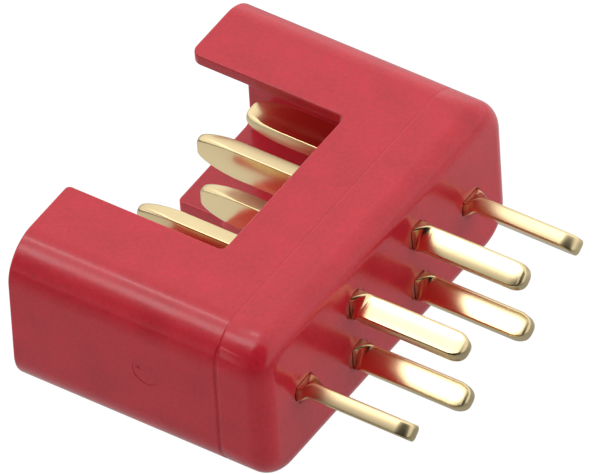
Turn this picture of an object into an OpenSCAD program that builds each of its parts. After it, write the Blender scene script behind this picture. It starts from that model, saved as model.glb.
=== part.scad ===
// Six-contact high-current plug with solder tails.
// Origin: centre of the rear face, the one that the tails leave.
// +X runs out along the tails, Y across the width, +Z up through the notched wall.

/* [Housing] */
// Width across both arms
body_w = 19.6; // [19:0.1:24]
// Height over both broad walls
body_h = 8.3; // [8:0.1:11]
// Length from the mating end to the rear face
body_l = 13.3; // [12.5:0.1:20]
// Radius of the four long outer edges
long_edge_r = 2; // [1.2:0.1:3]
// Radius of the edge round the rear face
rear_edge_r = 1; // [0.4:0.1:1.1]
// Distance of the mould parting line from the rear face
parting_from_rear = 2.5; // [2:0.1:3.5]
// Width of the parting line groove
parting_w = 0.12; // [0.06:0.02:0.3]
// Depth of the parting line groove
parting_depth = 0.08; // [0.04:0.02:0.2]

/* [Shroud] */
// Thickness of the wall that holds the wide notch
top_wall = 0.6; // [0.5:0.05:1.2]
// Thickness of the opposite broad wall
bottom_wall = 0.7; // [0.5:0.05:1.2]
// Thickness of the two narrow side walls
side_wall = 0.8; // [0.6:0.05:1.2]
// Depth of the space round the blades
cavity_depth = 8.1; // [7.5:0.1:8.6]
// Inner corner radius of that space
cavity_r = 0.4; // [0.3:0.1:1.5]
// Width of the notch in the top wall
top_notch_w = 9.7; // [9:0.1:11]
// Width of the keying notch in the bottom wall
key_notch_w = 6.3; // [5:0.1:8]
// Depth of the keying notch from the mating end
key_notch_depth = 2.6; // [1.5:0.1:4]
// Corner radius of both notches at the mating end
notch_lip_r = 0.4; // [0.1:0.1:0.8]
// Corner radius of both notches at their root
notch_root_r = 0.3; // [0.1:0.1:0.6]

/* [Gate mark] */
// Diameter of the round gate mark on one side wall
gate_d = 1.4; // [0.8:0.1:2]
// Depth of the gate mark
gate_depth = 0.06; // [0.02:0.02:0.2]
// Distance of the gate mark from the rear face
gate_from_rear = 6.2; // [5:0.1:8]
// Height of the gate mark above mid-height
gate_rise = 0.35; // [-1:0.05:1]

/* [Contact pattern] */
// Distance between the two inner columns of contacts
column_pitch = 5; // [4.5:0.1:5.6]
// Distance between the two rows of the inner contacts
row_pitch = 3.05; // [2.8:0.05:3.6]
// Space between an outer blade and the side wall beside it
outer_gap = 1.45; // [0.9:0.05:1.7]
// Distance of the contacts' middle below the housing's mid-height
contact_drop = 0.1; // [0:0.05:0.3]

/* [Contact] */
// Thickness of the blade
blade_t = 0.75; // [0.6:0.05:0.9]
// Width of the blade
blade_w = 1.7; // [1.5:0.05:2]
// Distance of the blade's tip behind the mating end
blade_recess = 1.8; // [1:0.1:3]
// Length of the rounded nose
nose_l = 1.6; // [1:0.1:2.5]
// Width left at the very tip
tip_w = 0.8; // [0.5:0.05:1.2]
// Length over which the blade gets thinner towards its tip
thin_l = 2.4; // [1:0.1:3.5]
// Thickness left at the very tip
tip_t = 0.4; // [0.3:0.05:0.6]
// Radius along the blade's long edges
blade_edge_r = 0.1; // [0.05:0.01:0.2]

/* [Solder tail] */
// Reach of the tail behind the rear face
tail_l = 5.85; // [4:0.05:9]
// Width of the tail
tail_w = 1.25; // [1:0.05:1.3]
// Thickness of the tail
tail_t = 0.75; // [0.6:0.05:0.85]
// Radius along the tail's long edges
tail_edge_r = 0.15; // [0.1:0.01:0.3]
// Length of the rounded end of the tail
tail_nose_l = 0.8; // [0.4:0.05:1.2]
// Width left at the very end of the tail
tail_tip_w = 0.4; // [0.3:0.05:0.8]
// Length over which that end is rounded across its thickness
tail_dome_l = 0.35; // [0.2:0.05:0.6]
// Thickness left at the very end of the tail
tail_tip_t = 0.35; // [0.2:0.05:0.5]
// Distance behind the rear face at which the twist ends
neck_end = 0.8; // [0.5:0.05:1.2]
// Depth inside the rear face at which the blade narrows to the tail
shoulder_depth = 0.9; // [0.4:0.05:1.5]

/* [Twist that locks each contact] */
// Outer left
twist_outer_left = 50; // [30:1:70]
// Upper left
twist_upper_left = 66; // [30:1:70]
// Lower left
twist_lower_left = 56; // [30:1:70]
// Upper right
twist_upper_right = 52; // [30:1:70]
// Lower right
twist_lower_right = 57; // [30:1:70]
// Outer right
twist_outer_right = 55; // [30:1:70]

/* [Contact slots] */
// Clearance between a blade and its slot, on each side
slot_clearance = 0.03; // [0.01:0.01:0.1]
// Depth of the round recess that the twisted tail turns in
recess_depth = 0.15; // [0.15:0.05:0.5]
// Clearance of that recess round the tail's corners
recess_clearance = 0.05; // [0.03:0.01:0.15]

/* [Hidden] */

plastic_red = [0.80, 0.24, 0.29];
plated_gold = [0.90, 0.75, 0.42];

$fn = 64;
// Overrun of a cut past the face that it opens
over = 1;

mating_x = -body_l;
cavity_root_x = mating_x + cavity_depth;
key_root_x = mating_x + key_notch_depth;
tip_x = mating_x + blade_recess;
// The twist starts inside the recess
neck_start_x = -(recess_depth - recess_clearance);
neck_l = neck_end - neck_start_x;
shoulder_x = -shoulder_depth;
rear_edge = min(rear_edge_r, 0.95 * long_edge_r);
outer_pitch = body_w - 2 * (side_wall + outer_gap) - blade_w;
// Radius that the tail's corners sweep when it is twisted
tail_sweep_r = norm([tail_w / 2 - tail_edge_r, tail_t / 2 - tail_edge_r]) + tail_edge_r;

// Each contact's place in the rear face, and its turn about X: 0 stands the blade upright
contact_outer_left_at = [-outer_pitch / 2, -contact_drop];
contact_upper_left_at = [-column_pitch / 2, row_pitch / 2 - contact_drop];
contact_lower_left_at = [-column_pitch / 2, -row_pitch / 2 - contact_drop];
contact_upper_right_at = [column_pitch / 2, row_pitch / 2 - contact_drop];
contact_lower_right_at = [column_pitch / 2, -row_pitch / 2 - contact_drop];
contact_outer_right_at = [outer_pitch / 2, -contact_drop];
upright = 0;
lying = 90;

// Rectangle of the given size with rounded corners, centred
module rounded_rect(w, h, r) {
  square([w - 2 * r, h], center = true);
  square([w, h - 2 * r], center = true);
  for (sx = [-1, 1], sy = [-1, 1])
    translate([sx * (w / 2 - r), sy * (h / 2 - r)]) circle(r);
}

// Turns a section drawn as (Y, Z) and extruded upwards so that it runs along +X from x
module along_x(x) {
  translate([x, 0, 0]) rotate([90, 0, 90]) children();
}

// Half outline of a bar whose end edge is rounded: from the axis out to r, along to l
module rounded_end_profile(r, l, edge) {
  square([r - edge, l]);
  square([r, l - edge]);
  translate([r - edge, l - edge]) circle(edge);
}

// Solid outer form of the housing: the long edges and the rear edge are both rounded
module outer_form() {
  pin_y = body_w / 2 - long_edge_r;
  pin_z = body_h / 2 - long_edge_r;
  translate([mating_x, 0, 0]) rotate([90, 0, 90]) {
    for (sy = [-1, 1], sz = [-1, 1])
      translate([sy * pin_y, sz * pin_z, 0])
        rotate_extrude() rounded_end_profile(long_edge_r, body_l, rear_edge);
    // Broad faces
    rotate([90, 0, 90]) linear_extrude(2 * pin_y, center = true)
      for (s = [0, 1]) mirror([s, 0])
        rounded_end_profile(body_h / 2, body_l, rear_edge);
    // Narrow sides
    rotate([90, 0, 0]) linear_extrude(2 * pin_z, center = true)
      for (s = [0, 1]) mirror([s, 0])
        rounded_end_profile(body_w / 2, body_l, rear_edge);
  }
}

// Groove that the mould's two halves leave round the outside
module parting_groove() {
  along_x(-parting_from_rear - parting_w / 2) linear_extrude(parting_w) difference() {
    square([body_w + over, body_h + over], center = true);
    rounded_rect(body_w - 2 * parting_depth, body_h - 2 * parting_depth, long_edge_r - parting_depth);
  }
}

// Space round the blades, open at the mating end
module cavity() {
  inner_w = body_w - 2 * side_wall;
  inner_h = body_h - top_wall - bottom_wall;
  along_x(mating_x - over) translate([0, (bottom_wall - top_wall) / 2, 0])
    linear_extrude(cavity_depth + over) rounded_rect(inner_w, inner_h, cavity_r);
}

// Plan outline, in X and Y, of a notch from the mating end to root_x with rounded lips
module notch_plan(w, root_x) {
  difference() {
    union() {
      translate([mating_x - over, -w / 2 + notch_root_r])
        square([root_x - mating_x + over, w - 2 * notch_root_r]);
      translate([mating_x - over, -w / 2])
        square([root_x - mating_x + over - notch_root_r, w]);
      for (s = [-1, 1])
        translate([root_x - notch_root_r, s * (w / 2 - notch_root_r)]) circle(notch_root_r);
      translate([mating_x - over, -w / 2 - notch_lip_r])
        square([over + notch_lip_r, w + 2 * notch_lip_r]);
    }
    for (s = [-1, 1])
      translate([mating_x + notch_lip_r, s * (w / 2 + notch_lip_r)]) circle(notch_lip_r);
  }
}

module top_notch() {
  translate([0, 0, body_h / 2 - top_wall - cavity_r]) linear_extrude(top_wall + cavity_r + over)
    notch_plan(top_notch_w, cavity_root_x);
}

module key_notch() {
  translate([0, 0, -body_h / 2 - over]) linear_extrude(bottom_wall + cavity_r + over)
    notch_plan(key_notch_w, key_root_x);
}

// Slot that one contact sits in, with a shallow round recess for the twisted tail
module contact_slot() {
  slot_t = blade_t + 2 * slot_clearance;
  slot_w = blade_w + 2 * slot_clearance;
  along_x(cavity_root_x - over) linear_extrude(over - cavity_root_x + over)
    square([slot_t, slot_w], center = true);
  along_x(-recess_depth) linear_extrude(recess_depth + over) circle(tail_sweep_r + recess_clearance);
}

// Puts its children at a contact's place, turned about X
module at_contact(place, turn) {
  translate([0, place[0], place[1]]) rotate([turn, 0, 0]) children();
}

module housing() {
  color(plastic_red) difference() {
    outer_form();
    parting_groove();
    cavity();
    top_notch();
    key_notch();
    at_contact(contact_outer_left_at, lying) contact_slot();
    at_contact(contact_upper_left_at, upright) contact_slot();
    at_contact(contact_lower_left_at, upright) contact_slot();
    at_contact(contact_upper_right_at, upright) contact_slot();
    at_contact(contact_lower_right_at, upright) contact_slot();
    at_contact(contact_outer_right_at, lying) contact_slot();
    translate([-gate_from_rear, gate_depth - body_w / 2, gate_rise])
      rotate([90, 0, 0]) cylinder(h = over, d = gate_d);
  }
}

// Outline of a bar end that narrows from w to tip_w over l in an elliptical arc, tip at 0
module nose_outline(w, tip_w, l, length) {
  steps = 12;
  fall = (w - tip_w) / 2;
  upper = [for (i = [0:steps]) let (a = 90 * i / steps) [l * (1 - cos(a)), tip_w / 2 + fall * sin(a)]];
  lower = [for (i = [steps:-1:0]) [upper[i][0], -upper[i][1]]];
  polygon(concat(upper, [[length, w / 2], [length, -w / 2]], lower));
}

// Blade, shoulder to tip: upright, with its broad faces towards the sides
module blade() {
  length = shoulder_x - tip_x;
  intersection() {
    along_x(tip_x) linear_extrude(length) rounded_rect(blade_t, blade_w, blade_edge_r);
    // Side view: the rounded nose
    translate([tip_x, blade_t, 0]) rotate([90, 0, 0]) linear_extrude(2 * blade_t)
      nose_outline(blade_w, tip_w, nose_l, length);
    // Plan view: the blade gets thinner towards its tip
    translate([tip_x, 0, -blade_w]) linear_extrude(2 * blade_w)
      nose_outline(blade_t, tip_t, thin_l, length);
  }
}

// Neck between the upright blade and the turned tail
module neck(twist) {
  along_x(shoulder_x) linear_extrude(neck_start_x - shoulder_x)
    rounded_rect(tail_t, tail_w, tail_edge_r);
  along_x(neck_start_x) linear_extrude(neck_l, twist = twist, slices = 9, $fn = 16)
    rounded_rect(tail_t, tail_w, tail_edge_r);
}

// Straight part of the tail, with its rounded end
module tail(twist) {
  length = tail_l - neck_end;
  rotate([-twist, 0, 0]) intersection() {
    along_x(neck_end) linear_extrude(length) rounded_rect(tail_t, tail_w, tail_edge_r);
    // Across its width
    translate([tail_l, tail_t, 0]) rotate([90, 0, 0]) linear_extrude(2 * tail_t)
      mirror([1, 0]) nose_outline(tail_w, tail_tip_w, tail_nose_l, length);
    // Across its thickness
    translate([tail_l, 0, -tail_w]) linear_extrude(2 * tail_w)
      mirror([1, 0]) nose_outline(tail_t, tail_tip_t, tail_dome_l, length);
  }
}

// One stamped contact: mating blade at one end, solder tail at the other
module contact(place, turn, twist) {
  color(plated_gold) at_contact(place, turn) {
    blade();
    neck(twist);
    tail(twist);
  }
}

module contact_outer_left() { contact(contact_outer_left_at, lying, twist_outer_left); }
module contact_upper_left() { contact(contact_upper_left_at, upright, twist_upper_left); }
module contact_lower_left() { contact(contact_lower_left_at, upright, twist_lower_left); }
module contact_upper_right() { contact(contact_upper_right_at, upright, twist_upper_right); }
module contact_lower_right() { contact(contact_lower_right_at, upright, twist_lower_right); }
module contact_outer_right() { contact(contact_outer_right_at, lying, twist_outer_right); }

housing();
contact_outer_left();
contact_upper_left();
contact_lower_left();
contact_upper_right();
contact_lower_right();
contact_outer_right();
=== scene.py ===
"""High-current plug: a red moulded housing round six gold-plated contacts, seen from above its solder tails."""

import math

import bmesh
import bpy
from bpy.props import FloatProperty, FloatVectorProperty, IntProperty, PointerProperty
from mathutils import Matrix, Vector


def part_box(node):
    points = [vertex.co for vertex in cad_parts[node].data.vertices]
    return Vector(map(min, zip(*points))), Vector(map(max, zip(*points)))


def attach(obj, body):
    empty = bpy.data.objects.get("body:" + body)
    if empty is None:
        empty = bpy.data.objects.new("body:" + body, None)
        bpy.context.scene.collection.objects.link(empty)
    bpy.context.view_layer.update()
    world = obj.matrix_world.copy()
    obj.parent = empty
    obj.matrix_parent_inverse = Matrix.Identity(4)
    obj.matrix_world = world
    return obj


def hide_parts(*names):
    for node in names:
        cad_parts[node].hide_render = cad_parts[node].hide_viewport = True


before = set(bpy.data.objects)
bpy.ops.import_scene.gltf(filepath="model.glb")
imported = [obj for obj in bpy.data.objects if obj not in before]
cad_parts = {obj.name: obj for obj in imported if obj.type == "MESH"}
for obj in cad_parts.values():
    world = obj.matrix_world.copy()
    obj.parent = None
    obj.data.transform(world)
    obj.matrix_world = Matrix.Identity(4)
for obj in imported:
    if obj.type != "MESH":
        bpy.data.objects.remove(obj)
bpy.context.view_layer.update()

bl_info = {
    "name": "High-Current Plug",
    "version": (1, 0, 0),
    "blender": (4, 5, 0),
    "location": "3D Viewport > Sidebar > Plug",
    "description": "Builds a six-contact high-current plug with its materials and a studio",
    "category": "Object",
}

MM = 0.001
BODY = "root"
HOUSING = "housing"

# For each contact: its turn about X and the twist of its tail in degrees,
# then how much shorter its blade and its tail are than the longest ones, in millimetres
UPRIGHT = 0
LYING = 90
CONTACTS = {
    "contact_outer_left": (LYING, 50, 0.1, 0.12),
    "contact_upper_left": (UPRIGHT, 66, 0.25, 0.03),
    "contact_lower_left": (UPRIGHT, 56, 0, 0.02),
    "contact_upper_right": (UPRIGHT, 52, 0.1, 0.17),
    "contact_lower_right": (UPRIGHT, 57, 0.1, 0.12),
    "contact_outer_right": (LYING, 55, 0, 0.22),
}

HOUSING_LOW, HOUSING_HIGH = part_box(HOUSING)
CONTACT_LOW, CONTACT_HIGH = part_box("contact_upper_right")


def length(label, description, millimetres, **limits):
    """A size in metres, with its default written in millimetres."""
    return FloatProperty(
        name=label, description=description, default=millimetres * MM, unit="LENGTH", precision=5, **limits
    )


def colour(label, description, value):
    """A linear colour."""
    return FloatVectorProperty(
        name=label, description=description, default=value, subtype="COLOR", size=3, min=0, max=1
    )


class PlugHousingSettings(bpy.types.PropertyGroup):
    """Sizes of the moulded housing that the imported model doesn't state as a box."""

    long_edge: length("Long edge radius", "Radius of the four long outer edges", 2)
    rear_edge: length("Rear edge radius", "Radius round the rear face", 1)
    top_wall: length("Top wall", "Thickness of the wall with the wide notch", 0.6)
    bottom_wall: length("Bottom wall", "Thickness of the opposite broad wall", 0.7)
    side_wall: length("Side wall", "Thickness of the narrow walls", 0.8)
    cavity_depth: length("Cavity depth", "Depth of the space round the blades", 8.1)
    cavity_corner: length("Cavity corner", "Inner corner radius of that space", 0.4)
    top_notch: length("Top notch", "Width of the notch in the top wall", 9.7)
    key_notch: length("Key notch", "Width of the keying notch in the bottom wall", 6.3)
    key_depth: length("Key notch depth", "Depth of the keying notch", 2.6)
    lip: length("Notch lip", "Corner radius of both notches at the mating end", 0.25)
    far_lip: length("Far lip", "That radius on the top notch's +Y side, where the mould is rounder", 0.52)
    root: length("Notch root", "Corner radius of both notches at their root", 0.3)
    soft_edge: length("Soft edge", "Rounding of the moulding's sharp edges", 0.1)
    parting_at: length("Parting line", "Distance of the parting line from the rear face", 2.5)
    parting_width: length("Parting width", "Width of the parting line groove", 0.12)
    parting_depth: length("Parting depth", "Depth of the parting line groove down the narrow walls", 0.09)
    parting_top: length("Parting depth on top", "Depth of that groove across the broad walls", 0.015)
    gate_size: length("Gate mark", "Diameter of the round gate mark", 1.4)
    gate_depth: length("Gate depth", "Depth of the gate mark", 0.02)
    gate_from_rear: length("Gate place", "Distance of the gate mark from the rear face", 6.2)
    gate_rise: length("Gate height", "Height of the gate mark above mid-height", 0.35)
    pip_radius: length("Pip radius", "Radius of the ball that pressed the pit beside the gate mark's middle", 0.3)
    pip_depth: length("Pip depth", "Depth of that pit", 0.07)
    clearance: length("Slot clearance", "Space between a contact and its slot", 0.03)
    recess_depth: length("Recess depth", "Depth of the round hollow that each tail leaves from", 0.08)
    recess_clearance: length("Recess clearance", "Space round the tail's corners in that hollow", 0.05)
    narrowing: length("Slot narrowing", "Depth in the rear face at which a slot narrows to its tail", 0.7)
    corner_steps: IntProperty(name="Corner steps", description="Faces round each long edge", default=20, min=6)


class PlugContactSettings(bpy.types.PropertyGroup):
    """Sizes of one stamped contact."""

    blade_thick: length("Blade thickness", "Thickness of the blade", 0.75)
    blade_wide: length("Blade width", "Width of the blade", 1.7)
    nose: length("Nose length", "Length of the blade's rounded nose", 1.6)
    nose_wide: length("Nose width", "Width left at the tip of the blade", 0.8)
    thin: length("Thinning length", "Length over which the blade gets thinner", 2.4)
    nose_thick: length("Nose thickness", "Thickness left at the tip of the blade", 0.4)
    lying_thin: length("Lying thinning", "Length over which the two lying blades get thinner", 1.2)
    lying_thick: length("Lying nose", "Thickness left at the tip of the two lying blades", 0.6)
    blade_edge: length("Blade edge", "Radius along the blade's long edges", 0.08)
    tail_wide: length("Tail width", "Width of the solder tail", 1.25)
    tail_thick: length("Tail thickness", "Thickness of the solder tail", 0.75)
    tail_edge: length("Tail edge", "Radius along the tail's long edges", 0.15)
    tail_nose: length("Tail end", "Length of the tail's rounded end", 0.72)
    tail_tip: length("Tail tip", "Width left at the very end of the tail", 0.15)
    tail_dome: length("Tail dome", "Length over which that end is rounded across its thickness", 0.22)
    tail_tip_thick: length("Tail tip thickness", "Thickness left at the very end of the tail", 0.3)
    shoulder: length("Shoulder depth", "Depth in the rear face at which the blade narrows to the tail", 0.9)
    neck_start: length("Twist start", "Where the twist starts, from the rear face", -0.08)
    neck_end: length("Twist end", "Where the twist ends, from the rear face", 0.65)
    sheared_end: length("Sheared end", "Length of the rough skin at the tail's end", 0.3)
    coined: length("Coined length", "Length of the blade's nose over which its edges get rounder", 2)
    rings: IntProperty(name="Rings", description="Rings along the contact", default=240, min=60)
    sides: IntProperty(name="Sides", description="Points round each ring, a multiple of four", default=32, min=12)


class PlugFinishSettings(bpy.types.PropertyGroup):
    """Colours and gloss of the two materials."""

    plastic: colour("Plastic", "Colour of the moulded nylon", (0.61, 0.02, 0.038))
    plastic_roughness: FloatProperty(
        name="Plastic roughness", description="Roughness of the nylon's skin", default=0.21, min=0, max=1
    )
    plating: colour("Plating", "Colour of the gold plating", (0.91, 0.73, 0.415))
    plating_roughness: FloatProperty(
        name="Plating roughness", description="Roughness of the plating", default=0.18, min=0, max=1
    )
    sheared: colour("Sheared edge", "Colour of the plating on the sheared narrow faces", (0.95, 0.77, 0.44))
    sheared_roughness: FloatProperty(
        name="Sheared roughness", description="Roughness of the sheared narrow faces", default=0.32, min=0, max=1
    )


class PlugStageSettings(bpy.types.PropertyGroup):
    """Camera, lamps and floor."""

    azimuth: FloatProperty(name="Camera azimuth", description="Degrees from +X", default=-54.364)
    elevation: FloatProperty(name="Camera elevation", description="Degrees above the floor", default=43.845)
    roll: FloatProperty(name="Camera roll", description="Degrees about the line of sight", default=-3.717)
    distance: length("Camera distance", "From the aim to the camera", 944.08)
    aim: FloatVectorProperty(
        name="Aim", description="Point at the middle of the picture", default=(-0.005357, 0.001151, -0.000173),
        unit="LENGTH", precision=6
    )
    lens: FloatProperty(name="Lens", description="Focal length on a 36 mm sensor", default=1295.66)
    floor: colour("Floor", "Colour of the floor", (0.84, 0.84, 0.84))
    floor_white: FloatProperty(name="Floor white", description="Glow of the floor in the picture", default=1.06)
    # Painted light: strength of the painted glow that the floor shows in reflections, brightest round the open end
    floor_painted_glow: FloatProperty(
        name="Floor mirrored", description="Glow in reflections of the floor before the open end", default=0.72
    )
    floor_painted_glow_reach: length("Floor reach", "Distance from the open end at which that glow is halved", 21)
    floor_plain: FloatProperty(
        name="Floor plain", description="Share of glow over shading in the picture", default=0.94, min=0, max=1
    )


class Value:
    """A number in a node tree, with the arithmetic that a formula needs."""

    def __init__(self, tree, source):
        self.tree = tree
        self.source = source

    def math(self, operation, *others, clamp=False):
        node = self.tree.nodes.new("ShaderNodeMath")
        node.operation = operation
        node.use_clamp = clamp
        for place, item in enumerate((self, *others)):
            if isinstance(item, Value):
                self.tree.links.new(item.source, node.inputs[place])
            else:
                node.inputs[place].default_value = item
        return Value(self.tree, node.outputs[0])

    def __add__(self, other):
        return self.math("ADD", other)

    def __sub__(self, other):
        return self.math("SUBTRACT", other)

    def __mul__(self, other):
        return self.math("MULTIPLY", other)

    def __truediv__(self, other):
        return self.math("DIVIDE", other)


def activate(obj):
    bpy.ops.object.select_all(action="DESELECT")
    obj.select_set(True)
    bpy.context.view_layer.objects.active = obj


def new_object(name, mesh):
    obj = bpy.data.objects.new(name, mesh)
    bpy.context.scene.collection.objects.link(obj)
    return obj


def bake_modifiers(obj):
    """Turns an object with modifiers into a plain mesh."""
    graph = bpy.context.evaluated_depsgraph_get()
    mesh = bpy.data.meshes.new_from_object(obj.evaluated_get(graph), preserve_all_data_layers=True, depsgraph=graph)
    obj.modifiers.clear()
    obj.data = mesh
    return obj


def rounded_ring(half_width, half_height, radius, steps):
    """Points (y, z) of a rounded rectangle, anticlockwise from the lower right."""
    points = []
    for quarter, (sy, sz) in enumerate(((1, -1), (1, 1), (-1, 1), (-1, -1))):
        for step in range(steps + 1):
            angle = math.radians(90 * (quarter - 1 + step / steps))
            y = sy * (half_width - radius) + radius * math.cos(angle)
            z = sz * (half_height - radius) + radius * math.sin(angle)
            points.append((y, z))
    return points


def loft(name, rings):
    """Closed mesh through rings of (x, points), with flat ends."""
    bm = bmesh.new()
    loops = []
    for x, points in rings:
        loops.append([bm.verts.new((x, y, z)) for y, z in points])
    for near, far in zip(loops, loops[1:]):
        for i in range(len(near)):
            j = (i + 1) % len(near)
            bm.faces.new((near[i], near[j], far[j], far[i]))
    bm.faces.new(list(reversed(loops[0])))
    bm.faces.new(loops[-1])
    bmesh.ops.recalc_face_normals(bm, faces=bm.faces)
    mesh = bpy.data.meshes.new(name)
    bm.to_mesh(mesh)
    bm.free()
    return new_object(name, mesh)


def prism(name, outline, low, high):
    """Closed mesh of a plan outline (x, y) between two heights."""
    bm = bmesh.new()
    bottom = [bm.verts.new((x, y, low)) for x, y in outline]
    top = [bm.verts.new((x, y, high)) for x, y in outline]
    for i in range(len(outline)):
        j = (i + 1) % len(outline)
        bm.faces.new((bottom[i], bottom[j], top[j], top[i]))
    bm.faces.new(list(reversed(bottom)))
    bm.faces.new(top)
    bmesh.ops.recalc_face_normals(bm, faces=bm.faces)
    mesh = bpy.data.meshes.new(name)
    bm.to_mesh(mesh)
    bm.free()
    return new_object(name, mesh)


def arc(centre, radius, start, end, steps):
    """Points on an arc, from one angle to the other in degrees."""
    points = []
    for step in range(steps + 1):
        angle = math.radians(start + (end - start) * step / steps)
        points.append((centre[0] + radius * math.cos(angle), centre[1] + radius * math.sin(angle)))
    return points


def notch_side(half, mouth, root_x, lip, root, over):
    """The +Y half of a notch's plan outline, from the mating end to the root."""
    side = [(mouth - over, half + lip), (mouth, half + lip)]
    side += arc((mouth + lip, half + lip), lip, 180, 270, 8)[1:]
    side += arc((root_x - root, half - root), root, 90, 0, 6)
    return side


def notch_outline(width, mouth, root_x, lips, root, over):
    """Plan outline of a notch that opens at the mating end, with the radii of its +Y and -Y lips."""
    right = notch_side(width / 2, mouth, root_x, lips[0], root, over)
    left = notch_side(width / 2, mouth, root_x, lips[1], root, over)
    return right + [(x, -y) for x, y in reversed(left)]


def cut(target, cutter):
    """Takes the cutter's volume out of the target."""
    modifier = target.modifiers.new("Cut", "BOOLEAN")
    modifier.operation = "DIFFERENCE"
    modifier.solver = "EXACT"
    modifier.object = cutter
    bake_modifiers(target)
    bpy.data.objects.remove(cutter)


def housing_form(sizes):
    """Outer form of the housing, with its rounded rear edge and parting line groove."""
    half_width = HOUSING_HIGH.y
    half_height = HOUSING_HIGH.z
    groove = sizes.parting_width / 2
    stations = [(HOUSING_LOW.x, 0, 0)]
    for share in (-1, -0.8, -0.5, 0, 0.5, 0.8, 1):
        dip = 1 - share * share
        stations.append((-sizes.parting_at + groove * share, sizes.parting_depth * dip, sizes.parting_top * dip))
    for step in range(13):
        angle = math.radians(90 * step / 12)
        inset = sizes.rear_edge * (1 - math.cos(angle))
        stations.append((sizes.rear_edge * (math.sin(angle) - 1), inset, inset))
    rings = []
    for x, inset, drop in stations:
        ring = rounded_ring(half_width - inset, half_height - drop, sizes.long_edge - inset, sizes.corner_steps)
        rings.append((x, ring))
    return loft(HOUSING + "_moulding", rings)


def cut_cavity(shell, sizes, over):
    """Opens the space round the blades and both notches."""
    mouth = HOUSING_LOW.x
    half_width = HOUSING_HIGH.y - sizes.side_wall
    half_height = HOUSING_HIGH.z - (sizes.top_wall + sizes.bottom_wall) / 2
    lift = (sizes.bottom_wall - sizes.top_wall) / 2
    ring = [
        (y, z + lift) for y, z in rounded_ring(half_width, half_height, sizes.cavity_corner, sizes.corner_steps)
    ]
    root_x = mouth + sizes.cavity_depth
    cut(shell, loft("cavity", [(mouth - over, ring), (root_x, ring)]))
    lips = (sizes.far_lip, sizes.lip)
    top = notch_outline(sizes.top_notch, mouth, root_x, lips, sizes.root, over)
    cut(shell, prism("top_notch", top, HOUSING_HIGH.z - sizes.top_wall - sizes.cavity_corner, HOUSING_HIGH.z + over))
    lips = (sizes.lip, sizes.lip)
    key = notch_outline(sizes.key_notch, mouth, mouth + sizes.key_depth, lips, sizes.root, over)
    cut(shell, prism("key_notch", key, HOUSING_LOW.z - over, HOUSING_LOW.z + sizes.bottom_wall + sizes.cavity_corner))


def contact_place(name):
    """Where a contact passes through the rear face, as (y, z)."""
    low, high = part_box(name)
    return (low.y + high.y) / 2, (low.z + high.z) / 2


def slot_ring(place, thick, wide, radius, turn):
    """Rounded rectangle (y, z) round a contact, turned about X by degrees."""
    cosine = math.cos(math.radians(turn))
    sine = math.sin(math.radians(turn))
    ring = []
    for y, z in rounded_ring(thick / 2, wide / 2, radius, 8):
        ring.append((place[0] + y * cosine - z * sine, place[1] + y * sine + z * cosine))
    return ring


def cut_slots(shell, sizes, contact, over):
    """Passes a slot through the rear block for each contact, narrower at its tail, which leaves a round hollow."""
    root_x = HOUSING_LOW.x + sizes.cavity_depth
    gap = 2 * sizes.clearance
    edge = contact.tail_edge
    sweep = math.hypot(contact.tail_wide / 2 - edge, contact.tail_thick / 2 - edge) + edge
    radius = sweep + sizes.recess_clearance
    for name, (turn, *_) in CONTACTS.items():
        place = contact_place(name)
        slot = slot_ring(place, contact.blade_thick + gap, contact.blade_wide + gap, sizes.clearance, turn)
        narrow = slot_ring(place, contact.tail_thick + gap, contact.tail_wide + gap, edge, turn)
        cut(shell, loft("slot", [(root_x - over, slot), (-sizes.narrowing, slot)]))
        cut(shell, loft("tail_slot", [(-sizes.narrowing - sizes.clearance, narrow), (over, narrow)]))
        rings = []
        for depth, share in ((1, 0.8), (0.9, 0.9), (0.6, 0.98), (0.2, 1.03), (0, 1.08), (-1, 1.3)):
            rings.append((-depth * sizes.recess_depth, slot_ring(
                place, 2 * share * radius, 2 * share * radius, share * radius, 0
            )))
        cut(shell, loft("recess", rings))


def cut_gate(shell, sizes, over):
    """Sinks the round gate mark into the near side wall."""
    bm = bmesh.new()
    bmesh.ops.create_cone(
        bm, cap_ends=True, segments=48, radius1=sizes.gate_size / 2, radius2=sizes.gate_size / 2,
        depth=over + sizes.gate_depth
    )
    place = Vector((-sizes.gate_from_rear, HOUSING_LOW.y + (sizes.gate_depth - over) / 2, sizes.gate_rise))
    bmesh.ops.transform(bm, matrix=Matrix.Translation(place) @ Matrix.Rotation(math.pi / 2, 4, "X"), verts=bm.verts)
    mesh = bpy.data.meshes.new("gate")
    bm.to_mesh(mesh)
    bm.free()
    cut(shell, new_object("gate", mesh))
    bm = bmesh.new()
    bmesh.ops.create_icosphere(bm, subdivisions=4, radius=sizes.pip_radius)
    pit = Vector((
        -sizes.gate_from_rear - sizes.gate_size / 4,
        HOUSING_LOW.y - sizes.pip_radius + sizes.pip_depth,
        sizes.gate_rise + sizes.gate_size / 8,
    ))
    bmesh.ops.translate(bm, vec=pit, verts=bm.verts)
    mesh = bpy.data.meshes.new("pit")
    bm.to_mesh(mesh)
    bm.free()
    cut(shell, new_object("pit", mesh))


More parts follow.
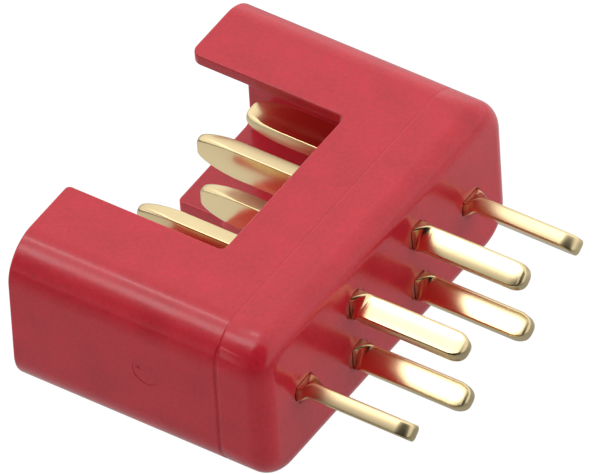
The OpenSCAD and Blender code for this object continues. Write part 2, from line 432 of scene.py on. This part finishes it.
def soften_edges(shell, sizes):
    """Rounds the moulding's sharp edges, apart from the parting line groove and the slots."""
    bm = bmesh.new()
    bm.from_mesh(shell.data)
    bmesh.ops.remove_doubles(bm, verts=bm.verts, dist=MM * 0.002)
    bmesh.ops.dissolve_degenerate(bm, edges=bm.edges, dist=MM * 0.001)
    sharp = math.radians(40)
    slot_start = HOUSING_LOW.x + sizes.cavity_depth + sizes.soft_edge
    chosen = []
    for edge in bm.edges:
        middle = (edge.verts[0].co + edge.verts[1].co) / 2
        in_slot = slot_start < middle.x and abs(middle.y) < HOUSING_HIGH.y - sizes.side_wall / 2
        in_slot = in_slot and abs(middle.z) < HOUSING_HIGH.z - sizes.top_wall / 2
        if in_slot or not edge.is_manifold:
            continue
        if edge.calc_face_angle(0) > sharp:
            chosen.append(edge)
    bmesh.ops.bevel(
        bm, geom=chosen, offset=sizes.soft_edge, offset_type="OFFSET", segments=3, profile=0.5, affect="EDGES",
        clamp_overlap=False, miter_outer="ARC"
    )
    bm.to_mesh(shell.data)
    bm.free()


def shade_smooth(obj, sharp_degrees):
    """Smooth shading that keeps flat faces flat and edges over the angle sharp."""
    obj.data.shade_smooth()
    obj.data.set_sharp_from_angle(angle=math.radians(sharp_degrees))
    modifier = obj.modifiers.new("Normals", "WEIGHTED_NORMAL")
    modifier.keep_sharp = True
    modifier.weight = 100
    bake_modifiers(obj)


def principled(material):
    """The material's Principled BSDF and its node tree."""
    material.use_nodes = True
    tree = material.node_tree
    return next(n for n in tree.nodes if n.type == "BSDF_PRINCIPLED"), tree


def surface_noise_group():
    """Node group: fine surface unevenness, as a height and a share that varies over the surface."""
    name = "Surface unevenness"
    if name in bpy.data.node_groups:
        return bpy.data.node_groups[name]
    tree = bpy.data.node_groups.new(name, "ShaderNodeTree")
    tree.interface.new_socket("Scale", in_out="INPUT", socket_type="NodeSocketFloat")
    tree.interface.new_socket("Stretch", in_out="INPUT", socket_type="NodeSocketVector")
    tree.interface.new_socket("Height", in_out="OUTPUT", socket_type="NodeSocketFloat")
    tree.interface.new_socket("Share", in_out="OUTPUT", socket_type="NodeSocketFloat")
    entry = tree.nodes.new("NodeGroupInput")
    result = tree.nodes.new("NodeGroupOutput")
    coordinates = tree.nodes.new("ShaderNodeTexCoord")
    stretch = tree.nodes.new("ShaderNodeVectorMath")
    stretch.operation = "MULTIPLY"
    tree.links.new(coordinates.outputs["Object"], stretch.inputs[0])
    tree.links.new(entry.outputs["Stretch"], stretch.inputs[1])
    for output, detail in (("Height", 3), ("Share", 1)):
        noise = tree.nodes.new("ShaderNodeTexNoise")
        noise.inputs["Detail"].default_value = detail
        tree.links.new(stretch.outputs[0], noise.inputs["Vector"])
        tree.links.new(entry.outputs["Scale"], noise.inputs["Scale"])
        tree.links.new(noise.outputs["Fac"], result.inputs[output])
    return tree


def uneven(tree, scale, stretch):
    """Places the unevenness group in a material."""
    node = tree.nodes.new("ShaderNodeGroup")
    node.node_tree = surface_noise_group()
    node.inputs["Scale"].default_value = scale
    node.inputs["Stretch"].default_value = stretch
    return node


def bump(tree, shader, height, strength, distance):
    """Feeds a height into the shader's normal."""
    node = tree.nodes.new("ShaderNodeBump")
    node.inputs["Strength"].default_value = strength
    node.inputs["Distance"].default_value = distance
    tree.links.new(height, node.inputs["Height"])
    tree.links.new(node.outputs["Normal"], shader.inputs["Normal"])


def spread(tree, share, low, high):
    """Maps a share from 0.1 to 0.9 onto a range."""
    node = tree.nodes.new("ShaderNodeMapRange")
    node.inputs["From Min"].default_value = 0.1
    node.inputs["From Max"].default_value = 0.9
    node.inputs["To Min"].default_value = low
    node.inputs["To Max"].default_value = high
    tree.links.new(share, node.inputs["Value"])
    return node.outputs["Result"]


def plastic_material(finish):
    """Red moulded nylon: saturated, softly glossy, with a faintly uneven skin."""
    material = bpy.data.materials.new("Red moulded nylon")
    shader, tree = principled(material)
    clouds = uneven(tree, 500, (1, 1, 1))
    grain = uneven(tree, 5000, (1, 1, 1))
    mix = tree.nodes.new("ShaderNodeMix")
    mix.data_type = "RGBA"
    share = Value(tree, clouds.outputs["Share"]) * 0.5 + Value(tree, grain.outputs["Share"]) * 0.5
    tree.links.new(spread(tree, share.source, 0, 1), mix.inputs["Factor"])
    mix.inputs["A"].default_value = (*(0.75 * c for c in finish.plastic), 1)
    mix.inputs["B"].default_value = (*(1.22 * c for c in finish.plastic), 1)
    tree.links.new(mix.outputs["Result"], shader.inputs["Base Color"])
    rough = finish.plastic_roughness
    tree.links.new(spread(tree, clouds.outputs["Share"], rough - 0.05, rough + 0.05), shader.inputs["Roughness"])
    bump(tree, shader, grain.outputs["Height"], 0.5, 0.00001)
    return material


def plating_material(finish):
    """Gold plating over stamped alloy, with faint lines along the blade."""
    material = bpy.data.materials.new("Gold plating")
    shader, tree = principled(material)
    shader.inputs["Metallic"].default_value = 1
    noise = uneven(tree, 900, (0.25, 1, 1))
    mix = tree.nodes.new("ShaderNodeMix")
    mix.data_type = "RGBA"
    tree.links.new(spread(tree, noise.outputs["Share"], 0, 1), mix.inputs["Factor"])
    mix.inputs["A"].default_value = (*(0.97 * c for c in finish.plating), 1)
    mix.inputs["B"].default_value = (*(1.0 * c for c in finish.plating), 1)
    tree.links.new(mix.outputs["Result"], shader.inputs["Base Color"])
    rough = finish.plating_roughness
    tree.links.new(spread(tree, noise.outputs["Share"], rough - 0.03, rough + 0.05), shader.inputs["Roughness"])
    bump(tree, shader, noise.outputs["Height"], 0.15, 0.00001)
    return material


def edge_material(finish):
    """Gold plating on the narrow faces that shearing left rough, with streaks along the contact."""
    material = bpy.data.materials.new("Sheared gold edge")
    shader, tree = principled(material)
    shader.inputs["Metallic"].default_value = 1
    noise = uneven(tree, 1600, (0.2, 1, 1))
    mix = tree.nodes.new("ShaderNodeMix")
    mix.data_type = "RGBA"
    tree.links.new(spread(tree, noise.outputs["Share"], 0, 1), mix.inputs["Factor"])
    mix.inputs["A"].default_value = (*(0.75 * c for c in finish.sheared), 1)
    mix.inputs["B"].default_value = (*finish.sheared, 1)
    tree.links.new(mix.outputs["Result"], shader.inputs["Base Color"])
    shader.inputs["Roughness"].default_value = finish.sheared_roughness
    bump(tree, shader, noise.outputs["Height"], 0.2, 0.00002)
    return material


CONTACT_INPUTS = (
    "Tip X", "End X", "Blade thickness", "Blade width", "Nose length", "Nose width", "Thinning length",
    "Nose thickness", "Blade edge", "Tail width", "Tail thickness", "Tail edge", "Tail end length", "Tail tip width",
    "Tail dome length", "Tail tip thickness", "Shoulder X", "Twist start", "Twist end", "Turn", "Twist", "Place Y",
    "Place Z", "Sheared end", "Coined length",
)


def quarter_arc(share):
    """Rises from 0 to 1 as a quarter of a circle does, while its input goes from 0 to 1."""
    rest = share.math("MULTIPLY", 1, clamp=True).math("SUBTRACT", 1).math("ABSOLUTE")
    return (rest * rest).math("MULTIPLY", -1).math("ADD", 1).math("MAXIMUM", 0).math("SQRT")


def contact_tree():
    """Geometry nodes: a bar whose section, rounding and twist follow its length, from blade tip to tail end."""
    tree = bpy.data.node_groups.new("Stamped contact", "GeometryNodeTree")
    tree.interface.new_socket("Geometry", in_out="INPUT", socket_type="NodeSocketGeometry")
    for name in CONTACT_INPUTS:
        tree.interface.new_socket(name, in_out="INPUT", socket_type="NodeSocketFloat")
    tree.interface.new_socket("Rings", in_out="INPUT", socket_type="NodeSocketInt")
    tree.interface.new_socket("Sides", in_out="INPUT", socket_type="NodeSocketInt")
    tree.interface.new_socket("Material", in_out="INPUT", socket_type="NodeSocketMaterial")
    tree.interface.new_socket("Edge material", in_out="INPUT", socket_type="NodeSocketMaterial")
    tree.interface.new_socket("Geometry", in_out="OUTPUT", socket_type="NodeSocketGeometry")
    entry = tree.nodes.new("NodeGroupInput")
    result = tree.nodes.new("NodeGroupOutput")
    size = {name: Value(tree, entry.outputs[name]) for name in CONTACT_INPUTS}

    bar = tree.nodes.new("GeometryNodeMeshCylinder")
    bar.fill_type = "NGON"
    bar.inputs["Radius"].default_value = 1
    bar.inputs["Depth"].default_value = 1
    tree.links.new(entry.outputs["Rings"], bar.inputs["Side Segments"])
    tree.links.new(entry.outputs["Sides"], bar.inputs["Vertices"])

    position = tree.nodes.new("GeometryNodeInputPosition")
    parts = tree.nodes.new("ShaderNodeSeparateXYZ")
    tree.links.new(position.outputs[0], parts.inputs[0])
    across = Value(tree, parts.outputs["X"])
    up = Value(tree, parts.outputs["Y"])
    along = Value(tree, parts.outputs["Z"]) + 0.5

    # Rings lie closer together towards both ends
    crowding = 0.9
    wave = (along * (2 * math.pi)).math("SINE") * (crowding / (2 * math.pi))
    x = (along - wave) * (size["End X"] - size["Tip X"]) + size["Tip X"]
    from_tip = x - size["Tip X"]
    from_end = size["End X"] - x

    blade_wide = size["Nose width"] + (size["Blade width"] - size["Nose width"]) * quarter_arc(
        from_tip / size["Nose length"]
    )
    blade_thick = size["Nose thickness"] + (size["Blade thickness"] - size["Nose thickness"]) * quarter_arc(
        from_tip / size["Thinning length"]
    )
    tail_wide = size["Tail tip width"] + (size["Tail width"] - size["Tail tip width"]) * quarter_arc(
        from_end / size["Tail end length"]
    )
    tail_thick = size["Tail tip thickness"] + (size["Tail thickness"] - size["Tail tip thickness"]) * quarter_arc(
        from_end / size["Tail dome length"]
    )

    # The shoulder is a short step from the blade's section to the tail's
    step = ((x - size["Shoulder X"]) / (MM * 0.15)).math("MULTIPLY", 1, clamp=True)
    wide = blade_wide + (tail_wide - blade_wide) * step
    thick = blade_thick + (tail_thick - blade_thick) * step
    coined = (from_tip / size["Coined length"]).math("MULTIPLY", -1).math("ADD", 1, clamp=True)
    blade_edge = size["Blade edge"] + (thick * 0.49 - size["Blade edge"]) * coined
    edge = blade_edge + (size["Tail edge"] - blade_edge) * step
    edge = edge.math("MINIMUM", thick * 0.49).math("MINIMUM", wide * 0.49)

    # Each ring is a rounded rectangle: the circle's quarters, moved out to its corners
    half_turn = Value(tree, entry.outputs["Sides"])
    angle = up.math("ARCTAN2", across) + (half_turn.math("DIVIDE", math.pi)).math("POWER", -1)
    y = angle.math("COSINE") * edge + angle.math("COSINE").math("SIGN") * (thick * 0.5 - edge)
    z = angle.math("SINE") * edge + angle.math("SINE").math("SIGN") * (wide * 0.5 - edge)

    share = ((x - size["Twist start"]) / (size["Twist end"] - size["Twist start"])).math("MULTIPLY", 1, clamp=True)
    smooth = share * share * (share * -2 + 3)
    turned = size["Turn"] - size["Twist"] * smooth
    cosine = turned.math("COSINE")
    sine = turned.math("SINE")
    final = tree.nodes.new("ShaderNodeCombineXYZ")
    tree.links.new(x.source, final.inputs["X"])
    tree.links.new((y * cosine - z * sine + size["Place Y"]).source, final.inputs["Y"])
    tree.links.new((y * sine + z * cosine + size["Place Z"]).source, final.inputs["Z"])

    # Shearing left the narrow faces, most of their rounded edges and the very ends rough
    narrow = angle.math("COSINE").math("ABSOLUTE").math("LESS_THAN", 0.8)
    ends = from_end.math("MINIMUM", from_tip * 3).math("LESS_THAN", size["Sheared end"])
    sheared = tree.nodes.new("GeometryNodeCaptureAttribute")
    sheared.domain = "FACE"
    sheared.capture_items.new("FLOAT", "Sheared")
    tree.links.new(bar.outputs["Mesh"], sheared.inputs["Geometry"])
    tree.links.new(narrow.math("MAXIMUM", ends).source, sheared.inputs[1])

    move = tree.nodes.new("GeometryNodeSetPosition")
    tree.links.new(sheared.outputs["Geometry"], move.inputs["Geometry"])
    tree.links.new(final.outputs[0], move.inputs["Position"])
    real = tree.nodes.new("GeometryNodeRealizeInstances")
    tree.links.new(move.outputs[0], real.inputs[0])
    coat = tree.nodes.new("GeometryNodeSetMaterial")
    tree.links.new(real.outputs[0], coat.inputs["Geometry"])
    tree.links.new(entry.outputs["Material"], coat.inputs["Material"])
    edge_coat = tree.nodes.new("GeometryNodeSetMaterial")
    tree.links.new(coat.outputs[0], edge_coat.inputs["Geometry"])
    tree.links.new(sheared.outputs[1], edge_coat.inputs["Selection"])
    tree.links.new(entry.outputs["Edge material"], edge_coat.inputs["Material"])
    tree.links.new(edge_coat.outputs[0], result.inputs[0])
    return tree


def contact_piece(name, tree, sizes, coats):
    """One contact, from the geometry nodes to a plain mesh."""
    turn, twist, short_blade, short_tail = CONTACTS[name]
    place = contact_place(name)
    values = {
        "Tip X": CONTACT_LOW.x + short_blade * MM,
        "End X": CONTACT_HIGH.x - short_tail * MM,
        "Blade thickness": sizes.blade_thick,
        "Blade width": sizes.blade_wide,
        "Nose length": sizes.nose,
        "Nose width": sizes.nose_wide,
        "Thinning length": sizes.thin if turn == UPRIGHT else sizes.lying_thin,
        "Nose thickness": sizes.nose_thick if turn == UPRIGHT else sizes.lying_thick,
        "Blade edge": sizes.blade_edge,
        "Tail width": sizes.tail_wide,
        "Tail thickness": sizes.tail_thick,
        "Tail edge": sizes.tail_edge,
        "Tail end length": sizes.tail_nose,
        "Tail tip width": sizes.tail_tip,
        "Tail dome length": sizes.tail_dome,
        "Tail tip thickness": sizes.tail_tip_thick,
        "Shoulder X": -sizes.shoulder,
        "Twist start": sizes.neck_start,
        "Twist end": sizes.neck_end,
        "Turn": math.radians(turn),
        "Twist": math.radians(twist),
        "Place Y": place[0],
        "Place Z": place[1],
        "Sheared end": sizes.sheared_end,
        "Coined length": sizes.coined,
        "Rings": sizes.rings,
        "Sides": sizes.sides,
        "Material": coats[0],
        "Edge material": coats[1],
    }
    piece = new_object(name + "_plated", bpy.data.meshes.new(name + "_plated"))
    modifier = piece.modifiers.new("Contact", "NODES")
    modifier.node_group = tree
    for item in tree.interface.items_tree:
        if item.in_out == "INPUT" and item.name in values:
            modifier[item.identifier] = values[item.name]
    bake_modifiers(piece)
    bm = bmesh.new()
    bm.from_mesh(piece.data)
    bmesh.ops.recalc_face_normals(bm, faces=bm.faces)
    bm.to_mesh(piece.data)
    bm.free()
    shade_smooth(piece, 35)
    return piece


def get_material(name, maker, finish):
    """The material of that name, made if it isn't there yet."""
    return bpy.data.materials.get(name) or maker(finish)


class PLUG_OT_housing(bpy.types.Operator):
    """Moulded housing with its cavity, notches, slots and soft edges"""

    bl_idname = "plug.housing"
    bl_label = "Build housing"

    def execute(self, context):
        sizes = context.scene.plug_housing
        contact = context.scene.plug_contact
        over = MM
        shell = housing_form(sizes)
        cut_cavity(shell, sizes, over)
        cut_slots(shell, sizes, contact, over)
        soften_edges(shell, sizes)
        cut_gate(shell, sizes, over)
        shade_smooth(shell, 35)
        material = get_material("Red moulded nylon", plastic_material, context.scene.plug_finish)
        shell.data.materials.clear()
        shell.data.materials.append(material)
        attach(shell, BODY)
        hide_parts(HOUSING)
        return {"FINISHED"}


class PLUG_OT_contacts(bpy.types.Operator):
    """Six stamped contacts with blades and twisted solder tails"""

    bl_idname = "plug.contacts"
    bl_label = "Build contacts"

    def execute(self, context):
        scene = context.scene
        coats = [
            get_material("Gold plating", plating_material, scene.plug_finish),
            get_material("Sheared gold edge", edge_material, scene.plug_finish),
        ]
        tree = contact_tree()
        for name in CONTACTS:
            piece = contact_piece(name, tree, scene.plug_contact, coats)
            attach(piece, BODY)
            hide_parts(name)
        return {"FINISHED"}


def floor_material(stage):
    """Matt white floor that shows white to the camera and keeps the object's shadow; in reflections it shows a
    painted glow instead, a pool of painted light round the open end that fades with distance and stays bright towards
    the far side.
    """
    material = bpy.data.materials.new("White floor")
    material.use_nodes = True
    tree = material.node_tree
    tree.nodes.clear()
    paper = tree.nodes.new("ShaderNodeBsdfDiffuse")
    paper.inputs["Color"].default_value = (*stage.floor, 1)
    glow = tree.nodes.new("ShaderNodeEmission")
    glow.inputs["Color"].default_value = (1, 1, 1, 1)
    path = tree.nodes.new("ShaderNodeLightPath")
    camera_ray = Value(tree, path.outputs["Is Camera Ray"])
    mirror_ray = Value(tree, path.outputs["Is Glossy Ray"])
    coordinates = tree.nodes.new("ShaderNodeTexCoord")
    # Painted reflection: in glossy rays the floor is a painted glow, a pool of painted light round the open end that
    # fades with distance, raised again towards the far side
    reach = tree.nodes.new("ShaderNodeVectorMath")
    reach.operation = "DISTANCE"
    reach.inputs[1].default_value = (HOUSING_LOW.x, 0, HOUSING_LOW.z)
    tree.links.new(coordinates.outputs["Object"], reach.inputs[0])
    away = Value(tree, reach.outputs["Value"]) / stage.floor_painted_glow_reach
    painted_glow_pool = (away * away + 1).math("POWER", -1)
    place = tree.nodes.new("ShaderNodeSeparateXYZ")
    tree.links.new(coordinates.outputs["Object"], place.inputs[0])
    beyond = Value(tree, place.outputs["X"]) * 0.5 + Value(tree, place.outputs["Y"]) * 0.85
    painted_far_glow = smooth_ramp(tree, beyond, 4 * MM, 32 * MM, 0, 1)
    mirrored = (painted_glow_pool + painted_far_glow).math("MINIMUM", 1) * stage.floor_painted_glow
    strength = camera_ray * stage.floor_white + mirror_ray * mirrored
    tree.links.new(strength.source, glow.inputs["Strength"])
    share = camera_ray * stage.floor_plain + mirror_ray
    mix = tree.nodes.new("ShaderNodeMixShader")
    output = tree.nodes.new("ShaderNodeOutputMaterial")
    tree.links.new(share.source, mix.inputs["Fac"])
    tree.links.new(paper.outputs[0], mix.inputs[1])
    tree.links.new(glow.outputs[0], mix.inputs[2])
    tree.links.new(mix.outputs[0], output.inputs["Surface"])
    return material


def smooth_ramp(tree, value, start, end, low, high):
    """Eases from low to high while the value goes from start to end."""
    ramp = tree.nodes.new("ShaderNodeMapRange")
    ramp.interpolation_type = "SMOOTHSTEP"
    ramp.inputs["From Min"].default_value = start
    ramp.inputs["From Max"].default_value = end
    ramp.inputs["To Min"].default_value = low
    ramp.inputs["To Max"].default_value = high
    tree.links.new(value.source, ramp.inputs["Value"])
    return Value(tree, ramp.outputs["Result"])


def direction(azimuth, elevation):
    """Unit vector towards a place in the sky, from angles in degrees."""
    a = math.radians(azimuth)
    e = math.radians(elevation)
    return Vector((math.cos(e) * math.cos(a), math.cos(e) * math.sin(a), math.sin(e)))


def angle_from(tree, way, azimuth, elevation):
    """Angle in degrees between a node's direction and a place in the sky."""
    node = tree.nodes.new("ShaderNodeVectorMath")
    node.operation = "DOT_PRODUCT"
    node.inputs[1].default_value = direction(azimuth, elevation)
    tree.links.new(way, node.inputs[0])
    return Value(tree, node.outputs["Value"]).math("ARCCOSINE") * (180 / math.pi)


def studio_world():
    """A soft tent of light all round, brighter at one side and with a dark opening towards the camera."""
    world = bpy.data.worlds.new("Light tent")
    bpy.context.scene.world = world
    world.use_nodes = True
    tree = world.node_tree
    tree.nodes.clear()
    coordinates = tree.nodes.new("ShaderNodeTexCoord")
    way = coordinates.outputs["Generated"]
    wall = smooth_ramp(tree, angle_from(tree, way, -70, 22), 42, 54, 0.01, 1.08)
    window = smooth_ramp(tree, angle_from(tree, way, -155, 60), 12, 28, 0.6, 0)
    tent = tree.nodes.new("ShaderNodeBackground")
    tree.links.new((wall + window).source, tent.inputs["Strength"])
    white = tree.nodes.new("ShaderNodeBackground")
    path = tree.nodes.new("ShaderNodeLightPath")
    mix = tree.nodes.new("ShaderNodeMixShader")
    output = tree.nodes.new("ShaderNodeOutputWorld")
    white.inputs["Color"].default_value = (1, 1, 1, 1)
    tent.inputs["Color"].default_value = (1, 1, 1, 1)
    tree.links.new(path.outputs["Is Camera Ray"], mix.inputs["Fac"])
    tree.links.new(tent.outputs[0], mix.inputs[1])
    tree.links.new(white.outputs[0], mix.inputs[2])
    tree.links.new(mix.outputs[0], output.inputs["Surface"])


def lamp(name, azimuth, elevation, distance, width, height, power):
    """Rectangular lamp in the sky that faces the plug."""
    data = bpy.data.lights.new(name, "AREA")
    data.shape = "RECTANGLE"
    data.size = width
    data.size_y = height
    data.energy = power
    obj = new_object(name, data)
    way = direction(azimuth, elevation)
    obj.location = way * distance
    obj.rotation_euler = way.to_track_quat("Z", "Y").to_euler()
    return obj


class PLUG_OT_stage(bpy.types.Operator):
    """Floor, lamps and the camera at the picture's viewing angle"""

    bl_idname = "plug.stage"
    bl_label = "Build stage"

    def execute(self, context):
        stage = context.scene.plug_stage
        bm = bmesh.new()
        bmesh.ops.create_grid(bm, x_segments=1, y_segments=1, size=2)
        bmesh.ops.translate(bm, vec=(0, 0, HOUSING_LOW.z), verts=bm.verts)
        mesh = bpy.data.meshes.new("floor")
        bm.to_mesh(mesh)
        bm.free()
        floor = new_object("floor", mesh)
        floor.data.materials.append(floor_material(stage))
        studio_world()
        lamp("strip_lamp", 180, 65, 0.6, 0.03, 0.1, 0.08)
        lamp("side_lamp", -135, 53, 0.6, 0.15, 0.13, 0.14)

        camera = new_object("camera", bpy.data.cameras.new("camera"))
        camera.data.sensor_width = 36
        camera.data.lens = stage.lens
        camera.data.clip_end = 10
        view = -direction(stage.azimuth, stage.elevation)
        right = view.cross(Vector((0, 0, 1))).normalized()
        above = right.cross(view)
        roll = math.radians(stage.roll)
        turned_right = math.cos(roll) * right + math.sin(roll) * above
        turned_above = math.cos(roll) * above - math.sin(roll) * right
        turn = Matrix((turned_right, turned_above, -view)).transposed()
        place = Vector(stage.aim) - view * stage.distance
        camera.matrix_world = Matrix.Translation(place) @ turn.to_4x4()
        context.scene.camera = camera
        context.scene.view_settings.view_transform = "Standard"
        return {"FINISHED"}


class PLUG_PT_panel(bpy.types.Panel):
    """Lists what builds the plug"""

    bl_idname = "PLUG_PT_panel"
    bl_label = "High-current plug"
    bl_space_type = "VIEW_3D"
    bl_region_type = "UI"
    bl_category = "Plug"

    def draw(self, context):
        for operator in OPERATORS:
            self.layout.operator(operator.bl_idname)


SETTINGS = {
    "plug_housing": PlugHousingSettings,
    "plug_contact": PlugContactSettings,
    "plug_finish": PlugFinishSettings,
    "plug_stage": PlugStageSettings,
}
OPERATORS = (PLUG_OT_stage, PLUG_OT_housing, PLUG_OT_contacts)


def register():
    for name, settings in SETTINGS.items():
        bpy.utils.register_class(settings)
        setattr(bpy.types.Scene, name, PointerProperty(type=settings))
    for operator in OPERATORS:
        bpy.utils.register_class(operator)
    bpy.utils.register_class(PLUG_PT_panel)


def unregister():
    bpy.utils.unregister_class(PLUG_PT_panel)
    for operator in reversed(OPERATORS):
        bpy.utils.unregister_class(operator)
    for name, settings in reversed(list(SETTINGS.items())):
        delattr(bpy.types.Scene, name)
        bpy.utils.unregister_class(settings)


def main():
    register()
    bpy.ops.plug.stage()
    bpy.ops.plug.housing()
    bpy.ops.plug.contacts()


if __name__ == "__main__":
    main()
